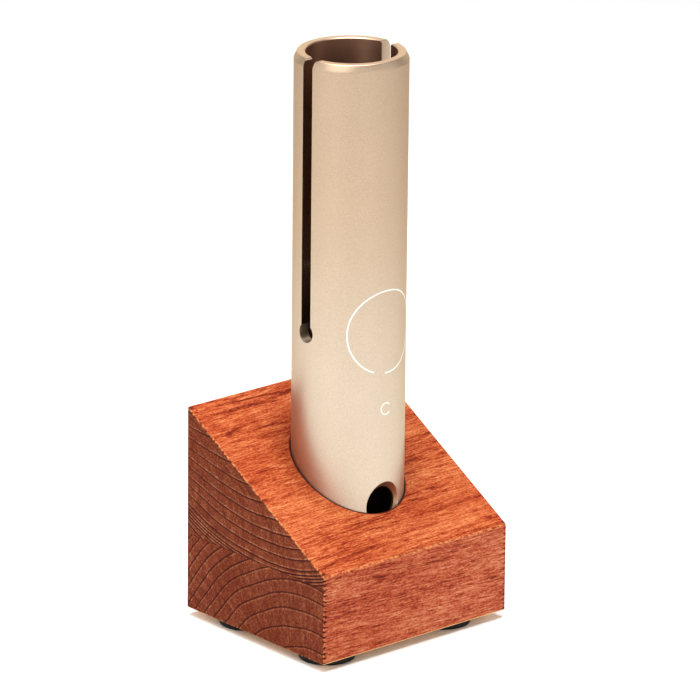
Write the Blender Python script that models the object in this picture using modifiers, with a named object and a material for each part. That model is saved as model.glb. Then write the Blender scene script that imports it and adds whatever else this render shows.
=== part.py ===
"""Wah-wah tube: a slotted aluminium tube that stands in a sloped hardwood block.

The tube is a tuning fork made round. Two saw slots part its upper half into two prongs,
which ring when a mallet strikes the rim. A finger hole near its lower end is opened and
closed by the player, which makes the wah sound, once the tube is lifted out of its block.

All lengths are in metres. +Z is up, +X runs along the block's low front face, and +Y points
to its high back. The origin lies on the table, under the middle of the block.
"""

import math

import bmesh
import bpy
from mathutils import Matrix

MM = 0.001

# Gaps between neighbours
CONTACT_GAP = 0.3 * MM
SOCKET_CLEARANCE = 0.3 * MM

# Resonator tube
TUBE_DIAMETER = 40.0 * MM
TUBE_WALL = 4.0 * MM
TUBE_LENGTH = 192.0 * MM
RIM_CHAMFER_WIDTH = 1.2 * MM
RIM_CHAMFER_HEIGHT = 2.5 * MM
RIM_INNER_CHAMFER = 0.9 * MM
LOWER_END_CHAMFER = 0.5 * MM
# Most of the wall's thickness that a chamfer may take on either side
OUTER_CHAMFER_SHARE = 0.4
INNER_CHAMFER_SHARE = 0.25
# Most of the wall's thickness that the finger hole's countersink may take
COUNTERSINK_SHARE = 0.7
SLOT_WIDTH = 4.8 * MM
SLOT_LENGTH = 98.5 * MM
RELIEF_HOLE_DIAMETER = 7.0 * MM
FINGER_HOLE_DIAMETER = 12.5 * MM
FINGER_HOLE_COUNTERSINK = 2.5 * MM
FINGER_HOLE_HEIGHT = 31.0 * MM

# Base block
BLOCK_WIDTH = 85.0 * MM
BLOCK_DEPTH = 74.0 * MM
BLOCK_FRONT_HEIGHT = 32.5 * MM
BLOCK_SLOPE = math.radians(30.0)
BLOCK_EDGE_RADIUS = 0.6 * MM
SOCKET_FLOOR = 10.4 * MM

# Soft disc under the tube
PAD_THICKNESS = 2.5 * MM
PAD_EDGE_RADIUS = 0.4 * MM

# Stick-on rubber feet
FOOT_DIAMETER = 20.0 * MM
FOOT_THICKNESS = 2.5 * MM
FOOT_EDGE_RADIUS = 0.5 * MM
FOOT_MARGIN_LEFT = 2.0 * MM
FOOT_MARGIN_RIGHT = 9.0 * MM
FOOT_MARGIN_FRONT = 2.0 * MM
FOOT_MARGIN_BACK = 9.0 * MM

# Facets round each turned shape
BORE_SIDES = 96
HOLE_SIDES = 48
FOOT_SIDES = 48
EDGE_SEGMENTS = 2

# How far a cutter runs past what it cuts
CUT_OVERRUN = 2.0 * MM
SMOOTH_ANGLE = math.radians(30.0)
MERGE_DISTANCE = 0.01 * MM

# Sizes and heights that follow from the values above
SOCKET_DIAMETER = TUBE_DIAMETER + 2 * SOCKET_CLEARANCE
PAD_DIAMETER = SOCKET_DIAMETER - 2 * CONTACT_GAP
BLOCK_BOTTOM = FOOT_THICKNESS + CONTACT_GAP
SOCKET_BOTTOM = BLOCK_BOTTOM + SOCKET_FLOOR
PAD_BOTTOM = SOCKET_BOTTOM + CONTACT_GAP
TUBE_BOTTOM = PAD_BOTTOM + PAD_THICKNESS + CONTACT_GAP


def slope_height(y):
    """Height of the block's sloped top above the block's underside, at depth y."""
    return BLOCK_FRONT_HEIGHT + (y + BLOCK_DEPTH / 2) * math.tan(BLOCK_SLOPE)


def clear_scene():
    for old in list(bpy.data.objects):
        bpy.data.objects.remove(old, do_unlink=True)


def new_collection(name):
    collection = bpy.data.collections.new(name)
    bpy.context.scene.collection.children.link(collection)
    return collection


def new_material(name, colour, roughness, metallic):
    material = bpy.data.materials.new(name)
    material.use_nodes = True
    shader = material.node_tree.nodes["Principled BSDF"]
    shader.inputs["Base Color"].default_value = (*colour, 1.0)
    shader.inputs["Roughness"].default_value = roughness
    shader.inputs["Metallic"].default_value = metallic
    return material


def add_object(name, mesh, collection, location=(0.0, 0.0, 0.0), material=None):
    piece = bpy.data.objects.new(name, mesh)
    piece.location = location
    if material is not None:
        mesh.materials.append(material)
    collection.objects.link(piece)
    return piece


def box_mesh(name, size_x, size_y, size_z):
    """A box centred on its own origin."""
    mesh = bpy.data.meshes.new(name)
    shape = bmesh.new()
    scale = Matrix.Diagonal((size_x, size_y, size_z, 1.0))
    bmesh.ops.create_cube(shape, size=1.0, matrix=scale)
    shape.to_mesh(mesh)
    shape.free()
    return mesh


def cylinder_mesh(name, diameter, length, sides, direction="Z"):
    """A closed cylinder centred on its own origin, along X or Z."""
    turns = {
        "X": Matrix.Rotation(math.pi / 2, 4, "Y"),
        "Z": Matrix.Identity(4),
    }
    mesh = bpy.data.meshes.new(name)
    shape = bmesh.new()
    bmesh.ops.create_cone(
        shape,
        cap_ends=True,
        segments=sides,
        radius1=diameter / 2,
        radius2=diameter / 2,
        depth=length,
        matrix=turns[direction],
    )
    shape.to_mesh(mesh)
    shape.free()
    mesh.shade_smooth()
    mesh.set_sharp_from_angle(angle=SMOOTH_ANGLE)
    return mesh


def round_edges(piece, radius):
    bevel = piece.modifiers.new("rounded_edges", "BEVEL")
    bevel.width = radius
    bevel.segments = EDGE_SEGMENTS
    bevel.limit_method = "ANGLE"
    bevel.angle_limit = SMOOTH_ANGLE


def cut(piece, cutter):
    cutter.hide_render = True
    cutter.display_type = "WIRE"
    boolean = piece.modifiers.new(cutter.name, "BOOLEAN")
    boolean.operation = "DIFFERENCE"
    boolean.solver = "EXACT"
    boolean.object = cutter


def tube_profile():
    """Half section of the tube: down the outside, across the lower end, up the inside."""
    outer = TUBE_DIAMETER / 2
    inner = outer - TUBE_WALL
    rim_width = min(RIM_CHAMFER_WIDTH, OUTER_CHAMFER_SHARE * TUBE_WALL)
    rim_inside = min(RIM_INNER_CHAMFER, INNER_CHAMFER_SHARE * TUBE_WALL)
    end = min(LOWER_END_CHAMFER, INNER_CHAMFER_SHARE * TUBE_WALL)
    return [
        (outer - rim_width, TUBE_LENGTH),
        (outer, TUBE_LENGTH - RIM_CHAMFER_HEIGHT),
        (outer, end),
        (outer - end, 0.0),
        (inner + end, 0.0),
        (inner, end),
        (inner, TUBE_LENGTH - rim_inside),
        (inner + rim_inside, TUBE_LENGTH),
    ]


def profile_mesh(name, profile, closed):
    """Points (radius, height) as a line in the XZ plane, ready to be turned."""
    mesh = bpy.data.meshes.new(name)
    points = [(radius, 0.0, height) for radius, height in profile]
    edges = [(i, i + 1) for i in range(len(points) - 1)]
    if closed:
        edges.append((len(points) - 1, 0))
    mesh.from_pydata(points, edges, [])
    return mesh


def turn(piece, sides):
    """Turns the object's profile about its own Z axis."""
    screw = piece.modifiers.new("turned", "SCREW")
    screw.axis = "Z"
    screw.angle = 2 * math.pi
    screw.steps = sides
    screw.render_steps = sides
    screw.use_merge_vertices = True
    screw.merge_threshold = MERGE_DISTANCE
    screw.use_smooth_shade = False


def make_turned_tube(parts, metal):
    """The plain tube, turned about its own axis, with its origin at its lower end."""
    mesh = profile_mesh("resonator_tube", tube_profile(), closed=True)
    tube = add_object("resonator_tube", mesh, parts, (0.0, 0.0, TUBE_BOTTOM), metal)
    turn(tube, BORE_SIDES)
    return tube


def make_finger_cutter(cutters):
    """A drill with a countersink, from the tube's axis out through its front wall.

    The countersink flares at 45 degrees, and its depth is measured at the wall's crown.
    """
    crown = TUBE_DIAMETER / 2
    radius = FINGER_HOLE_DIAMETER / 2
    sink = min(FINGER_HOLE_COUNTERSINK, COUNTERSINK_SHARE * TUBE_WALL)
    profile = [
        (0.0, crown + CUT_OVERRUN),
        (radius + sink + CUT_OVERRUN, crown + CUT_OVERRUN),
        (radius, crown - sink),
        (radius, 0.0),
        (0.0, 0.0),
    ]
    mesh = profile_mesh("finger_hole_cutter", profile, closed=False)
    place = (0.0, 0.0, TUBE_BOTTOM + FINGER_HOLE_HEIGHT)
    cutter = add_object("finger_hole_cutter", mesh, cutters, place)
    cutter.rotation_euler = (math.pi / 2, 0.0, 0.0)
    turn(cutter, HOLE_SIDES)
    return cutter


def make_resonator_tube(parts, cutters, metal):
    tube = make_turned_tube(parts, metal)
    across = TUBE_DIAMETER + 2 * CUT_OVERRUN
    relief_height = TUBE_BOTTOM + TUBE_LENGTH - SLOT_LENGTH

    # One cutter along X makes the relief holes of both slots
    relief_mesh = cylinder_mesh(
        "relief_hole_cutter", RELIEF_HOLE_DIAMETER, across, HOLE_SIDES, "X"
    )
    relief = add_object(
        "relief_hole_cutter", relief_mesh, cutters, (0.0, 0.0, relief_height)
    )
    cut(tube, relief)

    # The saw slots run from the relief holes up through the rim
    slot_height = SLOT_LENGTH + CUT_OVERRUN
    slot_mesh = box_mesh("slot_cutter", across, SLOT_WIDTH, slot_height)
    slot = add_object(
        "slot_cutter", slot_mesh, cutters, (0.0, 0.0, relief_height + slot_height / 2)
    )
    cut(tube, slot)

    # The finger hole goes through the front wall only
    cut(tube, make_finger_cutter(cutters))
    return tube


def make_base_block(parts, cutters, wood):
    """A box whose top is drawn down to the front, with a blind socket for the tube."""
    mesh = box_mesh("base_block", BLOCK_WIDTH, BLOCK_DEPTH, BLOCK_FRONT_HEIGHT)
    for corner in mesh.vertices:
        is_top = corner.co.z > 0
        corner.co.z = slope_height(corner.co.y) if is_top else 0.0
    block = add_object("base_block", mesh, parts, (0.0, 0.0, BLOCK_BOTTOM), wood)
    round_edges(block, BLOCK_EDGE_RADIUS)

    depth = slope_height(BLOCK_DEPTH / 2) - SOCKET_FLOOR + CUT_OVERRUN
    socket_mesh = cylinder_mesh("socket_cutter", SOCKET_DIAMETER, depth, BORE_SIDES)
    socket = add_object(
        "socket_cutter", socket_mesh, cutters, (0.0, 0.0, SOCKET_BOTTOM + depth / 2)
    )
    cut(block, socket)
    return block


def make_socket_pad(parts, felt):
    """The soft disc on the socket's floor that the tube's lower end stands on."""
    mesh = cylinder_mesh("socket_pad", PAD_DIAMETER, PAD_THICKNESS, BORE_SIDES)
    location = (0.0, 0.0, PAD_BOTTOM + PAD_THICKNESS / 2)
    pad = add_object("socket_pad", mesh, parts, location, felt)
    round_edges(pad, PAD_EDGE_RADIUS)
    return pad


def make_foot(name, x, y, parts, rubber):
    mesh = cylinder_mesh(name, FOOT_DIAMETER, FOOT_THICKNESS, FOOT_SIDES)
    foot = add_object(name, mesh, parts, (x, y, FOOT_THICKNESS / 2), rubber)
    round_edges(foot, FOOT_EDGE_RADIUS)
    return foot


def make_feet(parts, rubber):
    """Four round feet, stuck on by hand a little nearer the block's left and front."""
    radius = FOOT_DIAMETER / 2
    sides = {
        "left": FOOT_MARGIN_LEFT + radius - BLOCK_WIDTH / 2,
        "right": BLOCK_WIDTH / 2 - FOOT_MARGIN_RIGHT - radius,
    }
    ends = {
        "front": FOOT_MARGIN_FRONT + radius - BLOCK_DEPTH / 2,
        "back": BLOCK_DEPTH / 2 - FOOT_MARGIN_BACK - radius,
    }
    feet = []
    for end, y in ends.items():
        for side, x in sides.items():
            feet.append(make_foot(f"foot_{end}_{side}", x, y, parts, rubber))
    return feet


def parent_to(parent, children):
    bpy.context.view_layer.update()
    for child in children:
        child.parent = parent
        child.matrix_parent_inverse = parent.matrix_world.inverted()


def make_axis(name, height, parts):
    """An empty on the tube's upright axis, about which the pad and the tube turn."""
    axis = bpy.data.objects.new(name, None)
    axis.empty_display_size = TUBE_DIAMETER
    axis.location = (0.0, 0.0, height)
    parts.objects.link(axis)
    return axis


def main():
    clear_scene()
    parts = new_collection("wah_wah_tube")
    cutters = new_collection("cutters")
    metal = new_material("anodised_aluminium", (0.68, 0.53, 0.38), 0.38, 1.0)
    wood = new_material("stained_hardwood", (0.52, 0.13, 0.045), 0.5, 0.0)
    felt = new_material("dark_felt", (0.05, 0.045, 0.04), 0.95, 0.0)
    rubber = new_material("black_rubber", (0.012, 0.012, 0.012), 0.7, 0.0)

    block = make_base_block(parts, cutters, wood)
    feet = make_feet(parts, rubber)
    pad = make_socket_pad(parts, felt)
    tube = make_resonator_tube(parts, cutters, metal)

    turn_axis = make_axis("turn_axis", SOCKET_BOTTOM, parts)
    parent_to(block, feet + [turn_axis])
    parent_to(turn_axis, [pad])
    parent_to(pad, [tube])


main()
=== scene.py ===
"""Looks of the wah-wah tube: satin champagne tube, stained hardwood block, rubber feet.

All lengths are in metres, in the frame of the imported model: +Z up, +X along the block's low
front face, +Y to its high back.
"""

import math
from collections import namedtuple

import bmesh
import bpy
from mathutils import Matrix, Vector


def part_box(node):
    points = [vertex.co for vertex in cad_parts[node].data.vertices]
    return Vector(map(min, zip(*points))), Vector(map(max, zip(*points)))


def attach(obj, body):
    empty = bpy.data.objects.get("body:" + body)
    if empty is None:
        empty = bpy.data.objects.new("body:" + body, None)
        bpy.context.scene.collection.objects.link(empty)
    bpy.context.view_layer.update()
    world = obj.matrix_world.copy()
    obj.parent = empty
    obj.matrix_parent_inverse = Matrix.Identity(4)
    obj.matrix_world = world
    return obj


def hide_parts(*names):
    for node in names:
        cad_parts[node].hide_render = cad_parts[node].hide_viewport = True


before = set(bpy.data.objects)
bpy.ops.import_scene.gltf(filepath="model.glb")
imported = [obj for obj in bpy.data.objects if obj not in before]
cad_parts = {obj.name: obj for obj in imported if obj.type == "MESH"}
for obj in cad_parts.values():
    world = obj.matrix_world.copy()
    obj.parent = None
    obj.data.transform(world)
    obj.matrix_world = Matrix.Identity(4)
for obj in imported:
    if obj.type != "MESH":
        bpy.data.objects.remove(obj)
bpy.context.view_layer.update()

MM = 0.001

# Resonator tube, as the model has it
TUBE_WALL = 4.0 * MM
RIM_CHAMFER_WIDTH = 1.2 * MM
RIM_CHAMFER_HEIGHT = 2.5 * MM
RIM_INNER_CHAMFER = 0.4 * MM
RIM_CHAMFER_ROUNDING = 2.2 * MM
RIM_ROUNDING = 0.5 * MM
PRONG_ROUNDING = 1.0 * MM
ARC_STEPS = 6
LOWER_END_CHAMFER = 0.5 * MM
SLOT_WIDTH = 4.8 * MM
SLOT_LENGTH = 98.5 * MM
RELIEF_HOLE_DIAMETER = 7.0 * MM
FINGER_HOLE_DIAMETER = 12.5 * MM
FINGER_HOLE_COUNTERSINK = 2.5 * MM
FINGER_HOLE_HEIGHT = 31.0 * MM
CUT_OVERRUN = 2.0 * MM
TUBE_SIDES = 256
HOLE_SIDES = 96
EDGE_ANGLE = math.radians(20.0)
SOFT_EDGE = 0.12 * MM
MERGE_DISTANCE = 0.01 * MM

# Block: two boards glued one on the other. The rings of a board have one area each, so that
# they crowd together further out, and above a height their centre bends back
BLOCK_SLOPE = math.radians(30.0)
JOINT_HEIGHT = 30.8 * MM
Board = namedtuple("Board", "pith_y pith_z ring_area first_ring lean")
UPPER_BOARD = Board(-5.0 * MM, 125.0 * MM, 680.0 * MM * MM, 0.42, 30.0)
LOWER_BOARD = Board(-29.0 * MM, -32.0 * MM, 590.0 * MM * MM, 0.51, 0.0)
LEAN_FROM = 38.0 * MM
CROWDED_RINGS = 3.0
CROWDED_FROM = 93.5 * MM
CROWDED_TO = 98.5 * MM
RING_WANDER = 0.9
RING_RAGGEDNESS = 0.07
RING_DARK = 0.28 * MM
RING_LIGHT = 1.1 * MM
LOWER_STRENGTH = 0.75
HATCH_RADIUS = 40.0 * MM
HATCH_STRETCH = 0.20
FIBRE_WAVE = 1.6 * MM
GRAIN_TILT = (0.0, math.radians(-2.0), math.radians(-3.0))
STAIN_LONG = [
    (0.0, (0.130, 0.0155, 0.006)),
    (0.25, (0.305, 0.039, 0.0115)),
    (0.50, (0.462, 0.088, 0.0275)),
    (0.75, (0.580, 0.164, 0.056)),
    (1.0, (0.660, 0.250, 0.097)),
]
STAIN_END = [
    (0.0, (0.044, 0.0066, 0.003)),
    (0.25, (0.108, 0.0163, 0.0058)),
    (0.50, (0.169, 0.0320, 0.0108)),
    (0.75, (0.248, 0.0750, 0.033)),
    (1.0, (0.372, 0.150, 0.074)),
]
FRONT_TINT = (0.93, 1.01, 1.36)
STAIN_WORN = (0.66, 0.24, 0.085)
# Colour of the painted highlight along the block's lower edges
LOW_EDGE_HIGHLIGHT = (0.85, 0.50, 0.20)
# Dark colour of the nicks on the upright corners, also used as painted shade round the socket's edge
NICK_STAIN_AND_GAP_SHADE = (0.07, 0.010, 0.006)
# Width of the worn arrises and of the painted highlight along the lower edges
ARRIS_WEAR_AND_HIGHLIGHT = 0.55 * MM
SOCKET_CLEARANCE = 0.3 * MM
# Width of the painted shade: a dark ring on the wood round the socket's edge, where the clearance gap lies
# in shade
SOCKET_GAP_SHADE_WIDTH = 0.35 * MM
# Painted shadow of the tube: how far beside and behind the socket the wood is darkened, and by how much
TUBE_SHADOW_REACH = 10.0 * MM
TUBE_SHADOW_TINT = (0.68, 0.60, 0.58)
NICK_REACH = 2.6 * MM
NICK_TAPER = 2.4 * MM
NICK_SPACING = 1.9 * MM
NICK_HEIGHT = 1.15 * MM
NICK_WANDER = 1.4

# Anodised metal's colour at a grazing angle, as a share of a mirror's, and the painted light
# that makes the tube paler towards its lower end
EDGE_TINT = (0.72, 0.60, 0.48, 1.0)
PAINTED_LIGHT_TINT = (1.05, 1.18, 1.29)
PAINTED_LIGHT_FROM = 165.0 * MM
PAINTED_LIGHT_TO = 85.0 * MM
SAWN_ROUGHNESS = 0.20
# Painted shade in the bore: darker than the outside near the rim, and darker still deeper down
BORE_TOP_SHADE = (0.36, 0.20, 0.13)
BORE_DEEP_SHADE = (0.19, 0.10, 0.06)
BORE_SHADE_FADE = 16.0 * MM
# Painted shade, with a painted red reflection of the wood, on the finger hole's countersink
SUNK_SHADE_TINT = (0.80, 0.58, 0.44)
# Painted shade on the finger hole's drilled wall, near black
DRILLED_WALL_SHADE = (0.03, 0.018, 0.012)

# Marks on the tube's front
RING_RADIUS = 15.0 * MM
RING_LINE = 0.5 * MM
RING_HEIGHT = 111.3 * MM
RING_GAP_START = math.radians(-110.0)
RING_GAP_END = math.radians(-92.3)
LETTER_RADIUS = 2.1 * MM
LETTER_LINE = 0.38 * MM
LETTER_HEIGHT = 83.1 * MM
LETTER_OPENING = math.radians(38.0)

# Studio: soft boxes, each with its turn from the camera, seen from above, its height as an
# angle, its size and its power, and pale walls all round, each with its turn and its glow
LIGHT_TARGET = (0.0, 0.0, 0.05)
LIGHT_DISTANCE = 1.15
SOFT_BOXES = {
    "top_box": (0.0, math.radians(89.9), 0.7, 18.2),
    "left_box": (math.radians(-30.0), math.radians(55.0), 0.7, 4.8),
}
WALLS = {
    "front_wall": (0.0, 0.81),
    "right_front_wall": (math.radians(60.0), 1.26),
    "right_back_wall": (math.radians(120.0), 0.17),
    "back_wall": (math.radians(180.0), 2.03),
    "left_back_wall": (math.radians(-120.0), 0.28),
    "left_front_wall": (math.radians(-60.0), 1.20),
}
WALL_FADES = (0.35, 0.65)
WALL_STARTS = (-0.2, 0.0)
WALL_REACH = math.cos(math.radians(60.0))
ROOM_GLOW = 0.03

# Camera, from the photograph's edges
PICTURE_PIXELS = 700
SENSOR_WIDTH = 36.0
FOCAL_PIXELS = 6596.4
CAMERA_AZIMUTH = math.radians(-41.191)
CAMERA_PITCH = math.radians(18.673)
CAMERA_ROLL = math.radians(0.593)
CAMERA_DISTANCE = 2.3048
CAMERA_TARGET_SIDE = 0.48 * MM
CAMERA_TARGET_HEIGHT = 99.37 * MM


def add_node(tree, kind, inputs=None, **settings):
    """A shader node; inputs gives sockets a value or another node's output."""
    made = tree.nodes.new("ShaderNode" + kind)
    for name, value in settings.items():
        setattr(made, name, value)
    for key, value in (inputs or {}).items():
        if isinstance(value, bpy.types.NodeSocket):
            tree.links.new(value, made.inputs[key])
        else:
            made.inputs[key].default_value = value
    return made


def calculate(tree, operation, *values):
    """One math node's output."""
    made = add_node(tree, "Math", dict(enumerate(values)), operation=operation)
    return made.outputs[0]


def smooth_step(tree, value, low, high):
    """0 below low, 1 above high, smooth between them."""
    inputs = {"Value": value, "From Min": low, "From Max": high}
    made = add_node(tree, "MapRange", inputs, interpolation_type="SMOOTHSTEP")
    return made.outputs["Result"]


def colour_ramp(tree, value, stops, interpolation="LINEAR"):
    ramp = add_node(tree, "ValToRGB", {"Fac": value})
    ramp.color_ramp.interpolation = interpolation
    elements = ramp.color_ramp.elements
    while len(elements) < len(stops):
        elements.new(0.5)
    for element, (place, colour) in zip(elements, stops):
        element.position = place
        element.color = (*colour, 1.0)
    return ramp.outputs["Color"]


def mix_colour(tree, share, first, second, blend="MIX"):
    made = add_node(tree, "Mix", data_type="RGBA", blend_type=blend)
    for socket, value in ((0, share), (6, first), (7, second)):
        if isinstance(value, bpy.types.NodeSocket):
            tree.links.new(value, made.inputs[socket])
        elif socket == 0:
            made.inputs[socket].default_value = value
        else:
            made.inputs[socket].default_value = (*value, 1.0)
    return made.outputs[2]


def noise(tree, place, scale, detail=3.0, roughness=0.5, stretch=(1.0, 1.0, 1.0)):
    """Noise with features of 1 / scale metres; stretch squeezes it along each axis."""
    mapping = add_node(tree, "Mapping", {"Vector": place, "Scale": stretch})
    inputs = {
        "Vector": mapping.outputs[0],
        "Scale": scale,
        "Detail": detail,
        "Roughness": roughness,
    }
    return add_node(tree, "TexNoise", inputs).outputs["Fac"]


def new_material(name):
    material = bpy.data.materials.new(name)
    material.use_nodes = True
    tree = material.node_tree
    return material, tree, tree.nodes["Principled BSDF"]


def object_place(tree):
    return add_node(tree, "TexCoord").outputs["Object"]


def distance_from_axis(tree, place):
    """How far a point is from the tube's axis, which is the Z axis."""
    level = add_node(tree, "VectorMath", {0: place, 1: (1, 1, 0)}, operation="MULTIPLY")
    length = add_node(tree, "VectorMath", {0: level.outputs[0]}, operation="LENGTH")
    return length.outputs["Value"]


def set_inputs(shader, values):
    for name, value in values.items():
        shader.inputs[name].default_value = value


def add_bump(tree, shader, height, distance, strength=1.0):
    inputs = {"Height": height, "Distance": distance, "Strength": strength}
    bump = add_node(tree, "Bump", inputs)
    tree.links.new(bump.outputs[0], shader.inputs["Normal"])


def front_marks(tree, place):
    """Mask of the ring and the note letter, wrapped round the tube's front."""
    parts = add_node(tree, "SeparateXYZ", {0: place})
    x, y, z = parts.outputs
    around = calculate(tree, "ARCTAN2", x, calculate(tree, "MULTIPLY", y, -1.0))
    tube_radius = (CAD_TUBE_HIGH.x - CAD_TUBE_LOW.x) / 2
    across = calculate(tree, "MULTIPLY", around, tube_radius)
    front = calculate(tree, "LESS_THAN", y, 0.0)

    def line_ring(height, radius, width):
        up = calculate(tree, "SUBTRACT", z, height)
        squares = (
            calculate(tree, "MULTIPLY", across, across),
            calculate(tree, "MULTIPLY", up, up),
        )
        away = calculate(tree, "SQRT", calculate(tree, "ADD", *squares))
        off = calculate(tree, "ABSOLUTE", calculate(tree, "SUBTRACT", away, radius))
        line = smooth_step(tree, off, width * 0.6, width * 0.4)
        return line, calculate(tree, "ARCTAN2", up, across)

    ring, ring_turn = line_ring(RING_HEIGHT, RING_RADIUS, RING_LINE)
    in_gap = calculate(
        tree,
        "MULTIPLY",
        calculate(tree, "GREATER_THAN", ring_turn, RING_GAP_START),
        calculate(tree, "LESS_THAN", ring_turn, RING_GAP_END),
    )
    ring = calculate(tree, "MULTIPLY", ring, calculate(tree, "SUBTRACT", 1.0, in_gap))
    letter, letter_turn = line_ring(LETTER_HEIGHT, LETTER_RADIUS, LETTER_LINE)
    turned = calculate(tree, "ABSOLUTE", letter_turn)
    open_side = calculate(tree, "GREATER_THAN", turned, LETTER_OPENING)
    letter = calculate(tree, "MULTIPLY", letter, open_side)
    return calculate(tree, "MULTIPLY", calculate(tree, "MAXIMUM", ring, letter), front)


def metal_material():
    """Bead-blasted aluminium, anodised pale champagne, with the printed marks."""
    material, tree, shader = new_material("champagne_aluminium")
    place = object_place(tree)
    grain = noise(tree, place, 2600.0, detail=2.0, roughness=0.6)
    cloud = noise(tree, place, 60.0, detail=2.0)
    metal = colour_ramp(
        tree, grain, [(0.25, (0.505, 0.362, 0.248)), (0.75, (0.64, 0.48, 0.341))]
    )
    patchy = colour_ramp(tree, cloud, [(0.3, (0.97, 0.97, 0.97)), (0.7, (1.0, 1.0, 1.0))])
    metal = mix_colour(tree, 1.0, metal, patchy, "MULTIPLY")
    outer = (CAD_TUBE_HIGH.x - CAD_TUBE_LOW.x) / 2
    away = distance_from_axis(tree, place)
    height = add_node(tree, "SeparateXYZ", {0: place}).outputs[2]
    hole = CAD_TUBE_LOW.z + FINGER_HOLE_HEIGHT
    from_hole = calculate(tree, "ABSOLUTE", calculate(tree, "SUBTRACT", height, hole))
    at_hole = calculate(tree, "LESS_THAN", from_hole, FINGER_HOLE_DIAMETER)
    # Painted shade and painted reflection of the wood on the finger hole's countersink
    sunk_shade = smooth_step(tree, away, outer - 0.1 * MM, outer - 0.3 * MM)
    metal = mix_colour(
        tree,
        calculate(tree, "MULTIPLY", sunk_shade, at_hole),
        metal,
        mix_colour(tree, 1.0, metal, SUNK_SHADE_TINT, "MULTIPLY"),
    )
    # Painted shade on the finger hole's drilled wall
    wall_top = outer - FINGER_HOLE_COUNTERSINK
    drilled_shade = smooth_step(tree, away, wall_top + 0.1 * MM, wall_top - 0.1 * MM)
    drilled_shade = calculate(tree, "MULTIPLY", drilled_shade, at_hole)
    metal = mix_colour(tree, drilled_shade, metal, DRILLED_WALL_SHADE)
    # Painted shade in the bore, deepening below the rim
    bore = smooth_step(tree, away, outer - TUBE_WALL + 0.2 * MM, outer - TUBE_WALL)
    depth = calculate(tree, "SUBTRACT", CAD_TUBE_HIGH.z, height)
    bore_shade = smooth_step(tree, depth, BORE_SHADE_FADE * 0.5, BORE_SHADE_FADE * 1.5)
    bore_shade = mix_colour(tree, bore_shade, BORE_TOP_SHADE, BORE_DEEP_SHADE)
    metal = mix_colour(tree, bore, metal, bore_shade)
    # Painted light: the metal is made paler towards the tube's lower end
    painted_light = smooth_step(tree, height, PAINTED_LIGHT_FROM, PAINTED_LIGHT_TO)
    lit_metal = mix_colour(tree, 1.0, metal, PAINTED_LIGHT_TINT, "MULTIPLY")
    metal = mix_colour(tree, painted_light, metal, lit_metal)
    marks = front_marks(tree, place)
    tree.links.new(mix_colour(tree, marks, metal, (0.9, 0.88, 0.83)), shader.inputs[0])
    bare = calculate(tree, "SUBTRACT", 1.0, calculate(tree, "MULTIPLY", marks, 0.85))
    tree.links.new(bare, shader.inputs["Metallic"])
    rough = add_node(tree, "MapRange", {"Value": grain, "To Min": 0.36, "To Max": 0.50})
    across = calculate(tree, "ABSOLUTE", add_node(tree, "SeparateXYZ", {0: place}).outputs[1])
    sawn = smooth_step(tree, across, SLOT_WIDTH * 0.54, SLOT_WIDTH * 0.52)
    slot_end = CAD_TUBE_HIGH.z - SLOT_LENGTH
    sawn = calculate(tree, "MULTIPLY", sawn, calculate(tree, "GREATER_THAN", height, slot_end))
    inputs = {0: sawn, 2: rough.outputs["Result"], 3: SAWN_ROUGHNESS}
    rough = add_node(tree, "Mix", inputs, data_type="FLOAT")
    tree.links.new(rough.outputs[0], shader.inputs["Roughness"])
    set_inputs(shader, {"Specular Tint": EDGE_TINT})
    add_bump(tree, shader, grain, 0.02 * MM, 0.5)
    return material


def edge_distance(tree, place):
    """How far a point of the block's surface is from the block's nearest arris."""
    low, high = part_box("base_block")
    parts = add_node(tree, "SeparateXYZ", {0: place})
    x, y, z = parts.outputs
    from_side = calculate(tree, "SUBTRACT", high.x, calculate(tree, "ABSOLUTE", x))
    from_end = calculate(tree, "SUBTRACT", high.y, calculate(tree, "ABSOLUTE", y))
    from_bottom = calculate(tree, "SUBTRACT", z, low.z)
    rise = math.tan(BLOCK_SLOPE)
    slope_top = calculate(tree, "MULTIPLY_ADD", y, rise, high.z - high.y * rise)
    from_top = calculate(
        tree,
        "MULTIPLY",
        calculate(tree, "SUBTRACT", slope_top, z),
        math.cos(BLOCK_SLOPE),
    )
    from_level = calculate(tree, "MINIMUM", from_bottom, from_top)
    side_edge = calculate(
        tree, "MAXIMUM", from_side, calculate(tree, "MINIMUM", from_end, from_level)
    )
    cross_edge = calculate(tree, "MAXIMUM", from_end, from_level)
    upright_edge = calculate(tree, "MAXIMUM", from_side, from_end)
    return calculate(tree, "MINIMUM", side_edge, cross_edge), upright_edge, from_bottom


def weigh(tree, *terms):
    """One half, plus for each (value, weight) the weight times what value is over one half."""
    total = 0.5 - sum(weight for value, weight in terms) / 2
    for value, weight in terms:
        total = calculate(tree, "MULTIPLY_ADD", value, weight, total)
    return total


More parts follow.
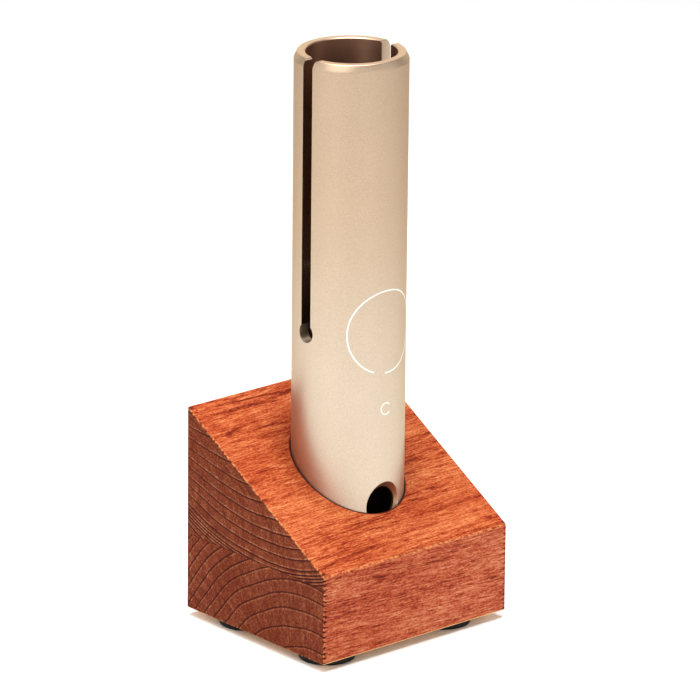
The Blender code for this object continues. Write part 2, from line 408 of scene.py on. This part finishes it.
def ring_field(tree, place, wander, board):
    """How far a growth ring's two ends are, inwards and outwards, and a fine radial hatch."""
    x, y, z = add_node(tree, "SeparateXYZ", {0: place}).outputs
    raised = calculate(tree, "MAXIMUM", calculate(tree, "SUBTRACT", z, LEAN_FROM), 0.0)
    raised = calculate(tree, "MULTIPLY", raised, raised)
    centre = calculate(tree, "MULTIPLY_ADD", raised, board.lean, board.pith_y)
    across = calculate(tree, "SUBTRACT", y, centre)
    up = calculate(tree, "SUBTRACT", z, board.pith_z)
    square = calculate(
        tree,
        "ADD",
        calculate(tree, "MULTIPLY", across, across),
        calculate(tree, "MULTIPLY", up, up),
    )
    away = calculate(tree, "SQRT", square)
    band = CROWDED_TO - CROWDED_FROM
    inputs = {"Value": away, "From Min": CROWDED_FROM, "From Max": CROWDED_TO}
    crowded = add_node(tree, "MapRange", inputs).outputs["Result"]
    rings = calculate(tree, "MULTIPLY_ADD", square, 1.0 / board.ring_area, board.first_ring)
    rings = calculate(tree, "MULTIPLY_ADD", crowded, CROWDED_RINGS, rings)
    rings = calculate(tree, "ADD", rings, wander)
    within = calculate(tree, "FRACT", rings)
    in_band = calculate(tree, "COMPARE", crowded, 0.5, 0.499)
    per_length = calculate(
        tree,
        "MULTIPLY_ADD",
        in_band,
        CROWDED_RINGS / band,
        calculate(tree, "MULTIPLY", away, 2.0 / board.ring_area),
    )
    from_inner = calculate(tree, "DIVIDE", within, per_length)
    left_over = calculate(tree, "SUBTRACT", 1.0, within)
    from_outer = calculate(tree, "DIVIDE", left_over, per_length)
    turn = calculate(tree, "ARCTAN2", up, across)
    hatch_place = add_node(
        tree,
        "CombineXYZ",
        {
            0: calculate(tree, "MULTIPLY", turn, HATCH_RADIUS),
            1: calculate(tree, "MULTIPLY", away, HATCH_STRETCH),
            2: x,
        },
    )
    hatch = noise(tree, hatch_place.outputs[0], 900.0, detail=2.0, roughness=0.6)
    return from_inner, from_outer, hatch


def growth_rings(tree, place):
    """The rings of both boards: their dark line, the light streak inside it, the hatch."""
    slow = noise(tree, place, 32.0, detail=1.0, stretch=(0.25, 1.0, 1.0))
    quick = noise(tree, place, 420.0, detail=2.0, stretch=(0.12, 1.0, 1.0))
    wander = calculate(
        tree,
        "MULTIPLY_ADD",
        calculate(tree, "SUBTRACT", slow, 0.5),
        RING_WANDER,
        calculate(tree, "MULTIPLY", quick, RING_RAGGEDNESS),
    )
    upper = ring_field(tree, place, wander, UPPER_BOARD)
    lower = ring_field(tree, place, wander, LOWER_BOARD)
    z = add_node(tree, "SeparateXYZ", {0: place}).outputs[2]
    above = calculate(tree, "GREATER_THAN", z, JOINT_HEIGHT)

    def either(first, second):
        made = add_node(tree, "Mix", {0: above, 2: second, 3: first}, data_type="FLOAT")
        return made.outputs[0]

    from_inner, from_outer, hatch = [either(*pair) for pair in zip(upper, lower)]
    from_line = calculate(tree, "MINIMUM", from_inner, from_outer)
    line = smooth_step(tree, from_line, RING_DARK * 1.4, RING_DARK * 0.5)
    from_joint = calculate(tree, "ABSOLUTE", calculate(tree, "SUBTRACT", z, JOINT_HEIGHT))
    joint = smooth_step(tree, from_joint, RING_DARK * 0.7, RING_DARK * 0.3)
    line = calculate(tree, "MAXIMUM", line, calculate(tree, "MULTIPLY", joint, 0.6))
    light = smooth_step(tree, from_outer, RING_LIGHT, RING_DARK)
    strength = calculate(tree, "MULTIPLY_ADD", above, 1.0 - LOWER_STRENGTH, LOWER_STRENGTH)
    line = calculate(tree, "MULTIPLY", line, strength)
    light = calculate(tree, "MULTIPLY", light, strength)
    return line, light, hatch


def long_grain(tree, place, line):
    """The grain along X: its tone, from 0 for dark to 1 for light, and its height."""
    tilted = add_node(tree, "Mapping", {"Vector": place, "Rotation": GRAIN_TILT})
    waves = noise(tree, place, 60.0, detail=1.0, stretch=(0.35, 1.0, 1.0))
    wave = calculate(tree, "MULTIPLY", waves, FIBRE_WAVE)
    shift = add_node(tree, "CombineXYZ", {1: wave, 2: wave})
    inputs = {0: tilted.outputs[0], 1: shift.outputs[0]}
    along = add_node(tree, "VectorMath", inputs, operation="ADD").outputs[0]
    bands = noise(tree, along, 130.0, detail=2.0, stretch=(0.10, 1.0, 1.0))
    streaks = noise(tree, along, 600.0, detail=1.0, stretch=(0.04, 1.0, 1.0))
    fibres = noise(tree, along, 2000.0, detail=1.0, roughness=0.6, stretch=(0.07, 1.0, 1.0))
    pores = noise(tree, place, 2200.0, detail=1.0, stretch=(0.45, 1.0, 1.0))
    veins = noise(tree, along, 170.0, detail=1.0, stretch=(0.07, 1.0, 1.0))
    vein = calculate(tree, "ABSOLUTE", calculate(tree, "SUBTRACT", veins, 0.5))
    vein = smooth_step(tree, vein, 0.020, 0.004)
    vein = calculate(tree, "MULTIPLY", vein, smooth_step(tree, bands, 0.58, 0.42))
    dark = calculate(tree, "MULTIPLY_ADD", line, 0.5, vein)
    tone = weigh(tree, (bands, 0.75), (streaks, 0.45), (fibres, 1.2), (pores, 0.95))
    tone = calculate(tree, "MULTIPLY_ADD", dark, -0.25, tone)
    height = calculate(tree, "MULTIPLY_ADD", pores, 0.7, fibres)
    return tone, height


def wood_material():
    """Stained hardwood: rings on the ends, long grain on the slope and the front."""
    material, tree, shader = new_material("stained_hardwood")
    place = object_place(tree)
    line, light, hatch = growth_rings(tree, place)
    tone, long_height = long_grain(tree, place, line)
    long_wood = colour_ramp(tree, tone, STAIN_LONG)
    speckle = noise(tree, place, 1500.0, detail=2.0, roughness=0.6)
    mottle = noise(tree, place, 260.0, detail=2.0, roughness=0.6)
    light = calculate(tree, "MULTIPLY", light, smooth_step(tree, mottle, 0.25, 0.50))
    end_tone = weigh(tree, (hatch, 0.7), (speckle, 1.2), (mottle, 0.2))
    end_tone = calculate(tree, "MULTIPLY_ADD", light, 0.36, end_tone)
    end_tone = calculate(tree, "MULTIPLY_ADD", line, -0.90, end_tone)
    end_tone = calculate(tree, "SUBTRACT", end_tone, 0.04)
    end_wood = colour_ramp(tree, end_tone, STAIN_END)
    normal = add_node(tree, "NewGeometry").outputs["Normal"]
    facing = add_node(tree, "SeparateXYZ", {0: normal})
    end = smooth_step(tree, calculate(tree, "ABSOLUTE", facing.outputs[0]), 0.6, 0.9)
    to_front = calculate(tree, "MULTIPLY", facing.outputs[1], -1.0)
    front = smooth_step(tree, to_front, 0.7, 0.95)
    front_wood = mix_colour(tree, 1.0, long_wood, FRONT_TINT, "MULTIPLY")
    long_wood = mix_colour(tree, front, long_wood, front_wood)
    wood = mix_colour(tree, end, long_wood, end_wood)
    blotches = noise(tree, place, 40.0, detail=2.0, stretch=(0.5, 1.0, 1.0))
    blotch_tone = colour_ramp(
        tree, blotches, [(0.35, (0.93, 0.86, 0.82)), (0.65, (1.05, 1.12, 1.15))]
    )
    wood = mix_colour(tree, 1.0, wood, blotch_tone, "MULTIPLY")

    # Painted shadow: the wood is made darker near the socket, beside and behind it, where the tube's
    # shadow falls
    from_socket = calculate(tree, "SUBTRACT", distance_from_axis(tree, place), SOCKET_RADIUS)
    painted_tube_shadow = smooth_step(tree, from_socket, TUBE_SHADOW_REACH, 0.0)
    toward_back = add_node(tree, "SeparateXYZ", {0: place}).outputs[1]
    beside = smooth_step(tree, toward_back, -0.9 * SOCKET_RADIUS, 0.0)
    painted_tube_shadow = calculate(tree, "MULTIPLY", painted_tube_shadow, beside)
    shadowed_wood = mix_colour(tree, 1.0, wood, TUBE_SHADOW_TINT, "MULTIPLY")
    wood = mix_colour(tree, painted_tube_shadow, wood, shadowed_wood)
    # Painted shade of the gap between the tube and the socket, as a dark ring on the wood
    painted_gap_shade = smooth_step(tree, from_socket, SOCKET_GAP_SHADE_WIDTH * 1.3, SOCKET_GAP_SHADE_WIDTH * 0.7)
    wood = mix_colour(tree, painted_gap_shade, wood, NICK_STAIN_AND_GAP_SHADE)
    any_edge, upright_edge, low_edge = edge_distance(tree, place)
    chips = noise(tree, place, 900.0, detail=2.0)
    worn = smooth_step(tree, any_edge, ARRIS_WEAR_AND_HIGHLIGHT, ARRIS_WEAR_AND_HIGHLIGHT * 0.3)
    worn = calculate(tree, "MULTIPLY", worn, smooth_step(tree, chips, 0.40, 0.65))
    # Painted highlight: a pale line along the block's lower edge, weaker on the end grain
    painted_edge_highlight = smooth_step(tree, low_edge, ARRIS_WEAR_AND_HIGHLIGHT, ARRIS_WEAR_AND_HIGHLIGHT * 0.7)
    painted_edge_highlight = calculate(tree, "MULTIPLY", painted_edge_highlight, calculate(tree, "SUBTRACT", 0.9, end))
    wood = mix_colour(tree, worn, wood, STAIN_WORN)
    wood = mix_colour(tree, painted_edge_highlight, wood, LOW_EDGE_HIGHLIGHT)
    nicked = smooth_step(tree, upright_edge, NICK_REACH, NICK_REACH * 0.6)
    uneven = noise(tree, place, 260.0, detail=3.0, roughness=0.7)
    height = add_node(tree, "SeparateXYZ", {0: place}).outputs[2]
    count = calculate(tree, "DIVIDE", height, NICK_SPACING)
    count = calculate(tree, "MULTIPLY_ADD", uneven, NICK_WANDER, count)
    from_nick = calculate(tree, "SUBTRACT", calculate(tree, "FRACT", count), 0.5)
    from_nick = calculate(tree, "MULTIPLY", calculate(tree, "ABSOLUTE", from_nick), 2.0)
    narrowing = calculate(tree, "DIVIDE", upright_edge, NICK_TAPER)
    at_end = calculate(tree, "MULTIPLY_ADD", end, 2.0, 1.0)
    narrowing = calculate(tree, "MULTIPLY", narrowing, at_end)
    from_nick = calculate(tree, "MULTIPLY_ADD", narrowing, NICK_HEIGHT / NICK_SPACING, from_nick)
    nick = smooth_step(tree, from_nick, 1.1 * NICK_HEIGHT / NICK_SPACING, 0.6 * NICK_HEIGHT / NICK_SPACING)
    nicked = calculate(tree, "MULTIPLY", nicked, nick)
    wood = mix_colour(tree, nicked, wood, NICK_STAIN_AND_GAP_SHADE)
    tree.links.new(wood, shader.inputs["Base Color"])
    inputs = {"Value": long_height, "To Min": 0.46, "To Max": 0.64}
    rough = add_node(tree, "MapRange", inputs)
    tree.links.new(rough.outputs["Result"], shader.inputs["Roughness"])
    set_inputs(shader, {"Specular IOR Level": 0.05})
    end_height = calculate(tree, "MULTIPLY_ADD", line, -0.8, hatch)
    heights = add_node(
        tree, "Mix", {0: end, 2: long_height, 3: end_height}, data_type="FLOAT"
    )
    add_bump(tree, shader, heights.outputs[0], 0.12 * MM, 0.7)
    return material


def rubber_material():
    """Matt black rubber with a fine moulded grain."""
    material, tree, shader = new_material("black_rubber")
    place = object_place(tree)
    grain = noise(tree, place, 1800.0, detail=3.0)
    dust = noise(tree, place, 300.0, detail=4.0)
    tone = colour_ramp(
        tree, dust, [(0.3, (0.004, 0.004, 0.004)), (0.75, (0.010, 0.010, 0.009))]
    )
    tree.links.new(tone, shader.inputs["Base Color"])
    rough = add_node(tree, "MapRange", {"Value": grain, "To Min": 0.6, "To Max": 0.85})
    tree.links.new(rough.outputs["Result"], shader.inputs["Roughness"])
    set_inputs(shader, {"Specular IOR Level": 0.25})
    add_bump(tree, shader, grain, 0.05 * MM, 0.6)
    return material


def felt_material():
    """Dark pressed felt: matted fibres with a soft sheen."""
    material, tree, shader = new_material("dark_felt")
    place = object_place(tree)
    fibres = noise(tree, place, 1400.0, detail=5.0, roughness=0.75)
    clumps = noise(tree, place, 250.0, detail=3.0)
    tone = colour_ramp(
        tree, fibres, [(0.3, (0.022, 0.020, 0.018)), (0.7, (0.085, 0.078, 0.070))]
    )
    tree.links.new(tone, shader.inputs["Base Color"])
    set_inputs(shader, {"Roughness": 0.95, "Sheen Weight": 0.4, "Sheen Roughness": 0.5})
    height = calculate(tree, "MULTIPLY_ADD", clumps, 0.6, fibres)
    add_bump(tree, shader, height, 0.2 * MM, 0.8)
    return material


def set_material(piece, material):
    piece.data.materials.clear()
    piece.data.materials.append(material)


def new_object(name, mesh):
    piece = bpy.data.objects.new(name, mesh)
    bpy.context.scene.collection.objects.link(piece)
    return piece


def baked_mesh(piece):
    """The object's mesh with its modifiers applied."""
    bpy.context.view_layer.update()
    graph = bpy.context.evaluated_depsgraph_get()
    return bpy.data.meshes.new_from_object(piece.evaluated_get(graph))


def turned(name, profile, sides, closed):
    """A profile of (radius, height) points turned about the object's own Z axis."""
    mesh = bpy.data.meshes.new(name)
    points = [(radius, 0.0, height) for radius, height in profile]
    edges = [(i, i + 1) for i in range(len(points) - 1)]
    if closed:
        edges.append((len(points) - 1, 0))
    mesh.from_pydata(points, edges, [])
    piece = new_object(name, mesh)
    screw = piece.modifiers.new("turned", "SCREW")
    screw.axis = "Z"
    screw.steps = screw.render_steps = sides
    screw.use_merge_vertices = True
    screw.merge_threshold = MERGE_DISTANCE
    screw.use_smooth_shade = False
    return piece


def cylinder(name, diameter, length, sides, matrix):
    bpy.ops.mesh.primitive_cylinder_add(
        vertices=sides, radius=diameter / 2, depth=length
    )
    piece = bpy.context.object
    piece.name = name
    piece.matrix_world = matrix
    return piece


def cut(piece, cutter):
    boolean = piece.modifiers.new(cutter.name, "BOOLEAN")
    boolean.operation = "DIFFERENCE"
    boolean.solver = "EXACT"
    boolean.object = cutter


def soften(piece, width, segments):
    """Rounds every edge a little, with the flat faces beside it still shaded flat."""
    bevel = piece.modifiers.new("soft_edges", "BEVEL")
    bevel.width = width
    bevel.segments = segments
    bevel.limit_method = "ANGLE"
    bevel.angle_limit = EDGE_ANGLE
    bevel.use_clamp_overlap = True
    bevel.harden_normals = True


def rounded(corners):
    """Profile points, where each (radius, height, rounding) corner becomes an arc."""
    points = []
    for i, (radius, height, rounding) in enumerate(corners):
        corner = Vector((radius, height))
        if not rounding:
            points.append(corner)
            continue
        before = (Vector(corners[i - 1][:2]) - corner).normalized()
        after = (Vector(corners[(i + 1) % len(corners)][:2]) - corner).normalized()
        half = before.angle(after) / 2
        middle = corner + (before + after).normalized() * rounding / math.sin(half)
        reach = rounding / math.tan(half)
        start = corner + before * reach - middle
        sweep = start.angle_signed(corner + after * reach - middle)
        for step in range(ARC_STEPS + 1):
            turn = Matrix.Rotation(-sweep * step / ARC_STEPS, 2)
            points.append(middle + turn @ start)
    return points


def make_slot_cutter(half_length, low, top):
    """A saw cut along X, up from a height, that flares round the prongs' corners at the rim."""
    half = SLOT_WIDTH / 2
    flare = half + PRONG_ROUNDING
    side = [(half, low)]
    for step in range(ARC_STEPS + 1):
        turn = math.pi / 2 * step / ARC_STEPS
        across = flare - PRONG_ROUNDING * math.cos(turn)
        side.append((across, top - PRONG_ROUNDING + PRONG_ROUNDING * math.sin(turn)))
    side.append((flare, top + CUT_OVERRUN))
    outline = side + [(-across, height) for across, height in reversed(side)]
    shape = bmesh.new()
    points = [shape.verts.new((-half_length, y, z)) for y, z in outline]
    face = shape.faces.new(points)
    grown = bmesh.ops.extrude_face_region(shape, geom=[face])["geom"]
    moved = [item for item in grown if isinstance(item, bmesh.types.BMVert)]
    bmesh.ops.translate(shape, verts=moved, vec=(2 * half_length, 0.0, 0.0))
    bmesh.ops.recalc_face_normals(shape, faces=shape.faces)
    mesh = bpy.data.meshes.new("slot_cutter")
    shape.to_mesh(mesh)
    shape.free()
    return new_object("slot_cutter", mesh)


def make_finger_cutter(outer, height):
    """A drill with a countersink that flares at 45 degrees, out through the front wall."""
    radius = FINGER_HOLE_DIAMETER / 2
    profile = [
        (0.0, outer + CUT_OVERRUN),
        (radius + FINGER_HOLE_COUNTERSINK + CUT_OVERRUN, outer + CUT_OVERRUN),
        (radius, outer - FINGER_HOLE_COUNTERSINK),
        (radius, 0.0),
        (0.0, 0.0),
    ]
    cutter = turned("finger_cutter", profile, HOLE_SIDES, closed=False)
    cutter.location = (0.0, 0.0, height)
    cutter.rotation_euler = (math.pi / 2, 0.0, 0.0)
    return cutter


def make_tube(metal):
    """The slotted tube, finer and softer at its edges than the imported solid."""
    low, high = CAD_TUBE_LOW, CAD_TUBE_HIGH
    outer = (high.x - low.x) / 2
    inner = outer - TUBE_WALL
    bottom, top = low.z, high.z
    corners = [
        (outer - RIM_CHAMFER_WIDTH, top, RIM_ROUNDING),
        (outer, top - RIM_CHAMFER_HEIGHT, RIM_CHAMFER_ROUNDING),
        (outer, bottom + LOWER_END_CHAMFER, 0.0),
        (outer - LOWER_END_CHAMFER, bottom, 0.0),
        (inner + LOWER_END_CHAMFER, bottom, 0.0),
        (inner, bottom + LOWER_END_CHAMFER, 0.0),
        (inner, top - RIM_INNER_CHAMFER, 0.0),
        (inner + RIM_INNER_CHAMFER, top, 0.0),
    ]
    blank = turned("tube_blank", rounded(corners), TUBE_SIDES, closed=True)
    across = 2 * outer + 2 * CUT_OVERRUN
    relief_height = top - SLOT_LENGTH
    lying_x = Matrix.Translation((0, 0, relief_height)) @ Matrix.Rotation(
        math.pi / 2, 4, "Y"
    )
    relief = cylinder(
        "relief_cutter", RELIEF_HOLE_DIAMETER, across, HOLE_SIDES, lying_x
    )
    slot = make_slot_cutter(across / 2, relief_height, top)
    finger = make_finger_cutter(outer, bottom + FINGER_HOLE_HEIGHT)
    cutters = [relief, slot, finger]
    for cutter in cutters:
        cut(blank, cutter)
    # One mesh after the cuts, shaded smooth, so that the rounding can harden its normals
    cut_blank = new_object("cut_tube", baked_mesh(blank))
    cut_blank.data.shade_smooth()
    soften(cut_blank, SOFT_EDGE, 2)
    tube = new_object("slotted_tube", baked_mesh(cut_blank))
    for spare in [blank, cut_blank, *cutters]:
        bpy.data.objects.remove(spare)
    set_material(tube, metal)
    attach(tube, "tube")
    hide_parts("resonator_tube")
    return tube


def make_pad(felt):
    """The felt disc on the socket's floor, with a soft rounded edge."""
    low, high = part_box("socket_pad")
    radius = (high.x - low.x) / 2
    middle = (low.z + high.z) / 2
    half = (high.z - low.z) / 2
    edge = 0.8 * MM
    steps = 6
    profile = [(0.0, high.z)]
    for i in range(steps + 1):
        turn = math.pi / 2 * i / steps
        profile.append(
            (radius - edge + edge * math.sin(turn), high.z - edge + edge * math.cos(turn))
        )
    for i in range(steps + 1):
        turn = math.pi / 2 * i / steps
        profile.append(
            (radius - edge + edge * math.cos(turn), low.z + edge - edge * math.sin(turn))
        )
    profile.append((0.0, low.z))
    blank = turned("felt_blank", profile, HOLE_SIDES, closed=False)
    disc = new_object("felt_disc", baked_mesh(blank))
    bpy.data.objects.remove(blank)
    disc.data.shade_smooth()
    set_material(disc, felt)
    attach(disc, "pad")
    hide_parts("socket_pad")
    return disc


def add_floor():
    material, tree, shader = new_material("white_table")
    place = object_place(tree)
    tone = colour_ramp(
        tree,
        noise(tree, place, 8.0),
        [(0.3, (0.96, 0.96, 0.96)), (0.7, (0.98, 0.98, 0.98))],
    )
    tree.links.new(tone, shader.inputs["Base Color"])
    set_inputs(shader, {"Roughness": 0.9, "Specular IOR Level": 0.0})
    bpy.ops.mesh.primitive_plane_add(size=12.0)
    floor = bpy.context.object
    floor.name = "table"
    set_material(floor, material)


def heading(turn, height):
    """The direction towards a turn from the camera, seen from above, and a height."""
    turn += CAMERA_AZIMUTH
    level = math.cos(height)
    return Vector((math.sin(turn) * level, -math.cos(turn) * level, math.sin(height)))


def add_soft_box(name, turn, height, size, power):
    """A square light that faces the block from a turn and a height given as angles."""
    data = bpy.data.lights.new(name, "AREA")
    data.shape = "SQUARE"
    data.size = size
    data.energy = power
    light = bpy.data.objects.new(name, data)
    bpy.context.scene.collection.objects.link(light)
    way = heading(turn, height)
    light.location = Vector(LIGHT_TARGET) + way * LIGHT_DISTANCE
    light.rotation_euler = (-way).to_track_quat("-Z", "Y").to_euler()
    return light


def add_walls():
    """The studio's pale walls, as the world's light: they run into each other and fade up."""
    world = bpy.data.worlds.new("studio")
    bpy.context.scene.world = world
    world.use_nodes = True
    tree = world.node_tree
    way = add_node(tree, "TexCoord").outputs["Generated"]
    x, y, z = add_node(tree, "SeparateXYZ", {0: way}).outputs
    level = add_node(tree, "CombineXYZ", {0: x, 1: y}).outputs[0]
    level = add_node(tree, "VectorMath", {0: level}, operation="NORMALIZE").outputs[0]
    glow = 0.0
    for turn, brightness in WALLS.values():
        inputs = {0: level, 1: heading(turn, 0.0)}
        facing = add_node(tree, "VectorMath", inputs, operation="DOT_PRODUCT").outputs["Value"]
        share = smooth_step(tree, facing, WALL_REACH, 1.0)
        glow = calculate(tree, "MULTIPLY_ADD", share, brightness, glow)
    glow = calculate(tree, "MULTIPLY", glow, smooth_step(tree, z, *WALL_STARTS))
    glow = calculate(tree, "MULTIPLY", glow, smooth_step(tree, z, *reversed(WALL_FADES)))
    glow = calculate(tree, "ADD", glow, ROOM_GLOW)
    tree.links.new(glow, tree.nodes["Background"].inputs["Color"])


def add_lights():
    add_walls()
    for name, settings in SOFT_BOXES.items():
        add_soft_box(name, *settings)


def add_camera():
    """The photograph's view, as a turn about Z, a look down and a slight roll."""
    sine, cosine = math.sin(CAMERA_AZIMUTH), math.cos(CAMERA_AZIMUTH)
    level, drop = math.cos(CAMERA_PITCH), math.sin(CAMERA_PITCH)
    ahead = Vector((-sine * level, cosine * level, -drop))
    right = Vector((cosine, sine, 0.0))
    up = right.cross(ahead)
    roll_cosine, roll_sine = math.cos(CAMERA_ROLL), math.sin(CAMERA_ROLL)
    rolled_right = roll_cosine * right + roll_sine * up
    rolled_up = roll_cosine * up - roll_sine * right
    target = right * CAMERA_TARGET_SIDE + Vector((0, 0, CAMERA_TARGET_HEIGHT))
    turn = Matrix((rolled_right, rolled_up, -ahead)).transposed().to_4x4()
    data = bpy.data.cameras.new("camera")
    data.sensor_width = SENSOR_WIDTH
    data.lens = FOCAL_PIXELS * SENSOR_WIDTH / PICTURE_PIXELS
    data.clip_end = 50.0
    camera = bpy.data.objects.new("camera", data)
    bpy.context.scene.collection.objects.link(camera)
    camera.matrix_world = Matrix.Translation(target - ahead * CAMERA_DISTANCE) @ turn
    bpy.context.scene.camera = camera


CAD_TUBE_LOW, CAD_TUBE_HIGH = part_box("resonator_tube")
SOCKET_RADIUS = (CAD_TUBE_HIGH.x - CAD_TUBE_LOW.x) / 2 + SOCKET_CLEARANCE
add_camera()
bpy.context.scene.view_settings.view_transform = "Standard"

metal = metal_material()
wood = wood_material()
rubber = rubber_material()
make_tube(metal)
make_pad(felt_material())
set_material(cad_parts["base_block"], wood)
for name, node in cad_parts.items():
    if name.startswith("foot_"):
        set_material(node, rubber)
add_floor()
add_lights()
